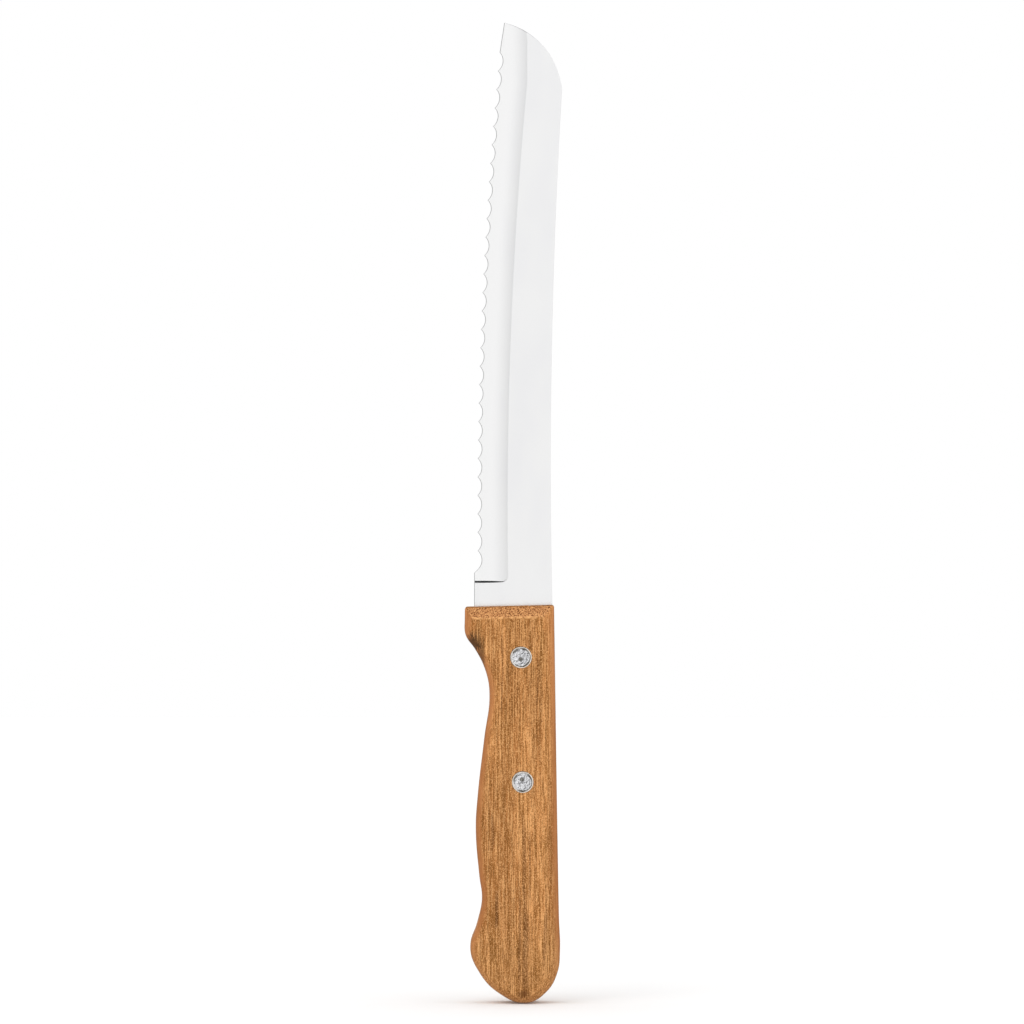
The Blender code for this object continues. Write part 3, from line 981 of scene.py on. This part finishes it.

# Dark marks, painted shade and partly burn under the guard's lip, and one at the pommel's foot: centre,
# stretch, reach, strength and tone
BURNS_AND_SHADE = (
    (Vector((-23.8, 0.0, -11.8)), (0.42, 0.0, 0.30), 1.3, 0.85, WOOD_BURN_SHADE),
    (Vector((-21.6, 0.0, -16.0)), (0.70, 0.0, 0.16), 1.2, 0.6, WOOD_BURN_SHADE),
    (Vector((-8.7, 0.0, -118.6)), (0.5, 0.0, 0.7), 1.2, 0.75, WOOD_PORE),
)
MARK_CORE = 0.35
MARK_RAGGED = (3.0, -1.5)
MARK_FACING = (0.05, 0.35, 0.4, 1.0)

# The planed front: where it begins, by how much more the normal points up than sideways
FRONT_STEEPNESS = (0.05, 0.2)
FRONT_TINT = 0.6
END_DARK = (0.51, 0.58)
END_LIGHT = (0.49, 0.42)
# The dark rim round the front, and the painted highlight along the crease below it, by height along the
# front's tilt
FRONT_RIM = (-0.5, -0.1, 0.0, 0.6)
FRONT_RIM_FACING = (0.97, 0.9)
CREASE_Z = 0.1 - FRONT_BORDER
CREASE_WIDTH = (0.5, 0.15)
CREASE_PATCHY = (0.42, 0.60)
CREASE_FACING = (0.7, 0.8)
# Along x, where the mitres at the guard and at the back end the crease's painted highlight
GUARD_MITRE = (BELLY_BORDER - GUARD_REACH, BELLY_BORDER - GUARD_REACH + 0.6)
BACK_MITRE = (0.8 - BACK_BORDER, 0.2 - BACK_BORDER)

WOOD_ROUGHNESS = (0.2, 0.45)
WOOD_SHINE = 0.2
WOOD_BUMP = (0.3, 0.08)


def border_masks(graph, place, facing):
    """Where the side border is, and the thin painted shade line on its outer edge."""
    _, y, z = graph.split(place)
    border = graph.times(
        graph.step(facing, *BORDER_BEGINS),
        graph.step(facing, *BORDER_ENDS),
        graph.step(z, *POMMEL_BORDER),
    )
    outer = graph.times(graph.step(graph.away(y), *EDGE_PLACE), graph.step(facing, *EDGE_FACING))
    return border, outer


def with_streaks(graph, place, patchy, colour):
    """Dark streaks along the grain that drift a little and fade at both ends."""
    x, _, z = graph.split(place)
    drift = graph.math("MULTIPLY_ADD", graph.noise(place, *DRIFT), *STREAK_DRIFT)
    drifted = graph.math("ADD", x, drift)
    for centre, half_width, low, high, strength in STREAKS:
        fade = STREAK_FADE * (high - low)
        streak = graph.times(
            graph.step(graph.away(drifted, centre), half_width, STREAK_CORE * half_width),
            graph.step(z, low, low + fade),
            graph.step(z, high, high - fade),
            strength,
        )
        colour = graph.mix(graph.times(streak, patchy), colour, WOOD_PORE)
    return colour


def with_end_grain_and_glint(graph, place, normal, colour):
    """Coarse specks on the planed front, and a painted highlight in bright flecks along its crease with the
    side faces.
    """
    x, _, z = graph.split(place)
    normal_x, normal_y, normal_z = graph.split(normal)
    steepness = graph.math("SUBTRACT", normal_z, graph.away(normal_x))
    on_front = graph.step(steepness, *FRONT_STEEPNESS)
    colour = graph.mix(graph.times(on_front, FRONT_TINT), colour, WOOD_END)
    specks = graph.noise(place, *END_SPECKS)
    for ramp, tint in ((END_DARK, WOOD_PORE), (END_LIGHT, WOOD_FLECK_AND_GLINT)):
        colour = graph.mix(graph.times(graph.step(specks, *ramp), on_front), colour, tint)

    tilted = graph.math("MULTIPLY_ADD", x, -FRONT_TILT, z)
    rim = graph.times(graph.step(tilted, *FRONT_RIM), on_front, graph.step(normal_z, *FRONT_RIM_FACING))
    colour = graph.mix(rim, colour, WOOD_DARK)
    # Painted highlight: bright flecks along the crease where the front meets the side faces
    crease = graph.times(
        graph.step(graph.away(tilted, CREASE_Z), *CREASE_WIDTH),
        graph.step(x, *GUARD_MITRE),
        graph.step(x, *BACK_MITRE),
        graph.step(graph.noise(place, *CREASE_PATCHES), *CREASE_PATCHY),
        graph.step(graph.away(normal_y), *CREASE_FACING),
    )
    return graph.mix(crease, colour, WOOD_FLECK_AND_GLINT)


def with_burns_and_shade(graph, place, fibres, facing, colour):
    """Ragged dark marks: painted shade, partly burn, under the guard's lip, and a dark mark at the foot of
    the pommel.
    """
    ragged = graph.math("MULTIPLY_ADD", fibres, *MARK_RAGGED)
    depth = graph.step(facing, *MARK_FACING)
    # Under the guard's lip these marks are painted shade of the hollow fillet, partly burn
    for centre, factors, reach, strength, mark_tone in BURNS_AND_SHADE:
        away = graph.math("ADD", from_spot(graph, place, centre, factors), ragged)
        mark = graph.step(away, reach, MARK_CORE, 0.0, strength)
        colour = graph.mix(graph.times(mark, depth), colour, mark_tone)
    return colour


def wood_material():
    """Oiled hardwood: bands, lines, fibres, short dark pores, a dark mark at the pommel's foot and painted
    shade, partly burn, under the guard's lip.
    """
    material, graph, shader, place = new_material("handle_wood")
    normal = graph.add("NewGeometry", {}).outputs["Normal"]
    facing = graph.away(graph.split(normal)[1])
    border, outer = border_masks(graph, place, facing)
    open_grain = graph.math("SUBTRACT", 1.0, graph.times(border, BORDER_SMOOTH))
    noises = {name: graph.noise(place, *settings) for name, settings in GRAIN_NOISES.items()}
    bands = graph.noise(place, *BANDS)
    pores = graph.times(graph.step(graph.noise(place, *PORES), *PORE_RAMP), open_grain)

    colour = graph.mix(graph.step(bands, *BAND_RAMP), WOOD_LIGHT, WOOD)
    colour = graph.mix(graph.step(graph.noise(place, *HUES), *HUE_RAMP), colour, WOOD_OLIVE)
    colour = graph.mix(graph.step(graph.split(place)[2], *POMMEL_OCHRE), colour, WOOD_OCHRE)
    for name, low, high, strength, tint in GRAIN_LAYERS:
        layer = graph.times(graph.step(noises[name], low, high, 0.0, strength), open_grain)
        colour = graph.mix(layer, colour, tint)
    colour = with_streaks(graph, place, graph.step(noises["speckle"], *PATCHY_RAMP), colour)
    colour = graph.mix(pores, colour, WOOD_PORE)
    colour = graph.mix(graph.times(border, BORDER_TINT), colour, WOOD_BORDER)
    # Painted shade: a thin dark line where the border turns into the wall
    colour = graph.mix(outer, colour, WOOD_EDGE_SHADE)
    colour = graph.mix(1.0, colour, graph.step(bands, *BAND_SHADE), "MULTIPLY")
    colour = with_end_grain_and_glint(graph, place, normal, colour)
    put_all(
        graph,
        shader,
        Base_Color=with_burns_and_shade(graph, place, noises["fibres"], facing, colour),
        Roughness=graph.math("MULTIPLY_ADD", noises["grain"], *WOOD_ROUGHNESS),
        Specular_IOR_Level=WOOD_SHINE,
        Normal=graph.bump(graph.math("SUBTRACT", noises["grain"], pores), *WOOD_BUMP),
    )
    return material


# ---------------------------------------------------------------- aluminium

RIVET_BRIGHT = tone(246, 246, 248)
RIVET_DULL = tone(196, 196, 198)
# Painted shade for the groove, the crescents and the pit, and a painted warm highlight for the rim
RIVET_SHADE = tone(150, 147, 140)
RIVET_RIM_HIGHLIGHT = tone(250, 236, 220)
MOTTLING = ((2.4, 2.4, 2.4), 4.0, 0.8)
FINE_MARKS = ((5.0, 5.0, 5.0), 4.0, 0.6)
MOTTLE_RAMP = (0.40, 0.60)
GROOVE_SHADE = (0.36, 0.08)
GROOVE_SHIFT = 0.05
SHADE_PATCHY = (0.42, 0.58, 0.25, 0.75)
CRESCENT_REACH = (1.5, 0.8)
RIM_BEGINS = (2.85, 3.0)
RIM_ENDS = (3.6, 3.4)
RIM_HIGHLIGHT_TINT = 0.8
PIT_STRETCH = (1.1, 0.0, 1.5)
PIT_SHADE = (1.0, 0.3)
PIT_RAGGED = (1.6, -0.8)
METAL_ROUGHNESS = (0.3, 0.15)
METAL_BUMP = (0.3, 0.03)


def rivet_masks(graph, place, mottling, name):
    """Where one rivet gets painted shade in its groove, crescents and pit, and where its rim's painted
    highlight goes.
    """
    crescents, pit = RIVET_MARKS[name]
    middle = middle_of(f"{name}_rivet_pin")
    middle.y = 0.0
    radius = from_spot(graph, place, middle)
    # Painted shade: patchy in the groove, and in the crescents and the pit
    groove = graph.step(graph.away(radius, GROOVE_MIDDLE + GROOVE_SHIFT), *GROOVE_SHADE)
    painted_shade = graph.times(groove, graph.step(mottling, *SHADE_PATCHY))
    for angle in crescents:
        turn = math.radians(angle)
        centre = middle + GROOVE_MIDDLE * Vector((math.cos(turn), 0.0, math.sin(turn)))
        near = graph.step(from_spot(graph, place, centre), *CRESCENT_REACH)
        painted_shade = graph.math("MAXIMUM", painted_shade, graph.times(groove, near))
    ragged = graph.math("MULTIPLY_ADD", mottling, *PIT_RAGGED)
    centre = middle + Vector((pit[0], 0.0, pit[1]))
    away = graph.math("ADD", from_spot(graph, place, centre, PIT_STRETCH), ragged)
    painted_shade = graph.math("MAXIMUM", painted_shade, graph.step(away, *PIT_SHADE))
    # The rim's mask, where its painted highlight goes
    rim = graph.times(graph.step(radius, *RIM_BEGINS), graph.step(radius, *RIM_ENDS))
    return painted_shade, rim


def aluminium_material():
    """Mottled hammered aluminium, with painted shade in the groove, crescents and pit, and a painted rim
    highlight.
    """
    material, graph, shader, place = new_material("rivet_aluminium")
    mottling = graph.noise(place, *MOTTLING)
    fine = graph.noise(place, *FINE_MARKS)
    painted_shade, rim = rivet_masks(graph, place, mottling, "front")
    rear_painted_shade, rear_rim_highlight = rivet_masks(graph, place, mottling, "rear")
    painted_shade = graph.math("MAXIMUM", painted_shade, rear_painted_shade)
    rim = graph.math("MAXIMUM", rim, rear_rim_highlight)
    colour = graph.mix(graph.step(mottling, *MOTTLE_RAMP), RIVET_BRIGHT, RIVET_DULL)
    # Painted highlight: a warm bright tint on each rivet's rim
    colour = graph.mix(graph.times(rim, RIM_HIGHLIGHT_TINT), colour, RIVET_RIM_HIGHLIGHT)
    put_all(
        graph,
        shader,
        # Painted shade in the groove, the crescents and the pit
        Base_Color=graph.mix(painted_shade, colour, RIVET_SHADE),
        Metallic=1.0,
        Roughness=graph.math("MULTIPLY_ADD", fine, *METAL_ROUGHNESS),
        Normal=graph.bump(fine, *METAL_BUMP),
    )
    return material


# ---------------------------------------------------------------- studio

FLOOR_HALF = 3.0
FLOOR_GAP = 0.2
FLOOR_DARK = tone(247, 247, 247)
FLOOR_LIGHT = tone(250, 250, 250)
FLOOR_CLOUDS = ((0.05, 0.05, 0.05), 3.0, 0.55)
FLOOR_ROUGHNESS = 0.9
LENS = 250.0
SENSOR = 36.0
CLIP_END = 20.0
FRAME_HEIGHT = 313.2
FRAME_LIFT = 0.09
FRAME_SHIFT = -0.39
WHITE = (1.0, 1.0, 1.0, 1.0)
KEY_DIRECTION = Vector((0.45, 0.75, -0.85))
KEY_STRENGTH = 0.45
KEY_ANGLE = 40.0
# Diffuse light by the direction's y: a little more of it comes from the camera's side
AMBIENT = (0.5, -0.5, 1.0, 1.12)

# What the metal reflects, by the direction (x, y, z) of the reflection. In front of the knife: a base
# brightness with a change over each range of x, and two lifts that need both a range of z and one of x
FRONT_BASE = 0.62
FRONT_CHANGES = (
    (-0.25, -0.14, 0.0, 0.365),
    (-0.08, -0.02, 0.0, -0.12),
    (0.02, 0.15, 0.0, 0.15),
    (-0.35, -0.6, 0.0, -0.28),
)
FRONT_LIFTS = (
    ((0.1, 0.3, 0.0, 0.35), (-0.25, -0.1)),
    ((-0.15, -0.35, 0.0, 0.35), (-0.66, -0.82)),
)
# Behind the knife, and the brightness there by how far aside the direction is
BEHIND = (-0.15, 0.15)
BEHIND_LEVEL = (0.35, 0.95, 0.85, 0.3)
# The ceiling, which is dark in front of the knife
CEILING = (0.42, 0.56)
CEILING_LEVEL = 0.45
CEILING_DARK = -0.44
CEILING_MIDDLE = (0.45, 0.3)
CEILING_FRONT = (0.1, -0.1)


def floor_material():
    """Matt white paper with faint clouds."""
    material, graph, shader, place = new_material("floor_paper")
    clouds = graph.noise(place, *FLOOR_CLOUDS)
    colour = graph.mix(clouds, FLOOR_DARK, FLOOR_LIGHT)
    put_all(graph, shader, Base_Color=colour, Roughness=FLOOR_ROUGHNESS)
    return material


def build_floor():
    """Pale paper just under the knife, which the steel doesn't mirror."""
    mesh = bpy.data.meshes.new("floor")
    half = FLOOR_HALF
    mesh.from_pydata(
        [(-half, -half, 0), (half, -half, 0), (half, half, 0), (-half, half, 0)], [], [(0, 1, 2, 3)]
    )
    mesh.materials.append(floor_material())
    floor = bpy.data.objects.new("floor", mesh)
    floor.location.z = -FLOOR_GAP * MM
    floor.visible_glossy = False
    bpy.context.scene.collection.objects.link(floor)
    floor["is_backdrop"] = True


def reflected_level(graph, direction):
    """The brightness that the metal reflects from a direction."""
    x, y, z = graph.split(direction)
    front = FRONT_BASE
    for change in FRONT_CHANGES:
        front = graph.math("ADD", front, graph.step(x, *change))
    for by_z, by_x in FRONT_LIFTS:
        front = graph.math("ADD", front, graph.times(graph.step(z, *by_z), graph.step(x, *by_x)))
    aside = graph.away(x)
    level = graph.mix(graph.step(y, *BEHIND), front, graph.step(aside, *BEHIND_LEVEL))
    dark = graph.times(graph.step(aside, *CEILING_MIDDLE), graph.step(y, *CEILING_FRONT))
    ceiling = graph.math("MULTIPLY_ADD", dark, CEILING_DARK, CEILING_LEVEL)
    return graph.mix(graph.step(z, *CEILING), level, ceiling)


def build_world():
    """White behind the knife, even for diffuse light; reflections see a gradient and a dark ceiling."""
    world = bpy.data.worlds.new("studio")
    bpy.context.scene.world = world
    world.use_nodes = True
    graph = Graph(world.node_tree)
    background = world.node_tree.nodes["Background"]
    direction = graph.add("TexCoord", {}).outputs["Generated"]
    ambient = graph.step(graph.split(direction)[1], *AMBIENT)
    rays = graph.add("LightPath", {}).outputs
    seen = graph.mix(rays["Is Glossy Ray"], ambient, reflected_level(graph, direction))
    seen = graph.mix(rays["Is Camera Ray"], seen, WHITE)
    graph.put(background.inputs["Color"], seen)
    graph.put(background.inputs["Strength"], 1.0)


def build_lights():
    """One broad soft key light, which the steel doesn't mirror."""
    lamp = bpy.data.lights.new("key", "SUN")
    lamp.energy = KEY_STRENGTH
    lamp.angle = math.radians(KEY_ANGLE)
    key = bpy.data.objects.new("key", lamp)
    key.rotation_euler = KEY_DIRECTION.to_track_quat("-Z", "Y").to_euler()
    key.visible_glossy = False
    bpy.context.scene.collection.objects.link(key)


def build_camera():
    """A long lens straight in front of the photographed face, as in the photo."""
    camera = bpy.data.cameras.new("camera")
    camera.lens = LENS
    camera.sensor_width = SENSOR
    camera.clip_end = CLIP_END
    eye = bpy.data.objects.new("camera", camera)
    distance = LENS / SENSOR * FRAME_HEIGHT * MM
    low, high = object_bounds()
    middle = (low + high) / 2
    eye.location = (middle.x + FRAME_SHIFT * MM, -distance, middle.z + FRAME_LIFT * MM)
    eye.rotation_euler = (math.radians(90.0), 0.0, 0.0)
    bpy.context.scene.collection.objects.link(eye)
    bpy.context.scene.camera = eye


# ---------------------------------------------------------------- assembly

FIRST_SEED = 11.0
SEED_STEP = 13.0


def build_knife():
    """The blade, the handle and the two halves of each rivet."""
    new_piece("blade_steel", blade_mesh(), steel_material(), "blade")
    new_piece("handle_wood", handle_mesh(), wood_material(), "handle")
    aluminium = aluminium_material()
    seed = FIRST_SEED
    for name in ("front", "rear"):
        for part, side in (("pin", -1.0), ("sleeve", 1.0)):
            node = f"{name}_rivet_{part}"
            mesh = rivet_mesh(name, part, side, seed)
            new_piece(node + "_metal", mesh, aluminium, node)
            seed += SEED_STEP


def main():
    """The knife and its studio."""
    build_knife()
    build_floor()
    build_world()
    build_lights()
    build_camera()
    bpy.context.scene.view_settings.view_transform = "Standard"


main()
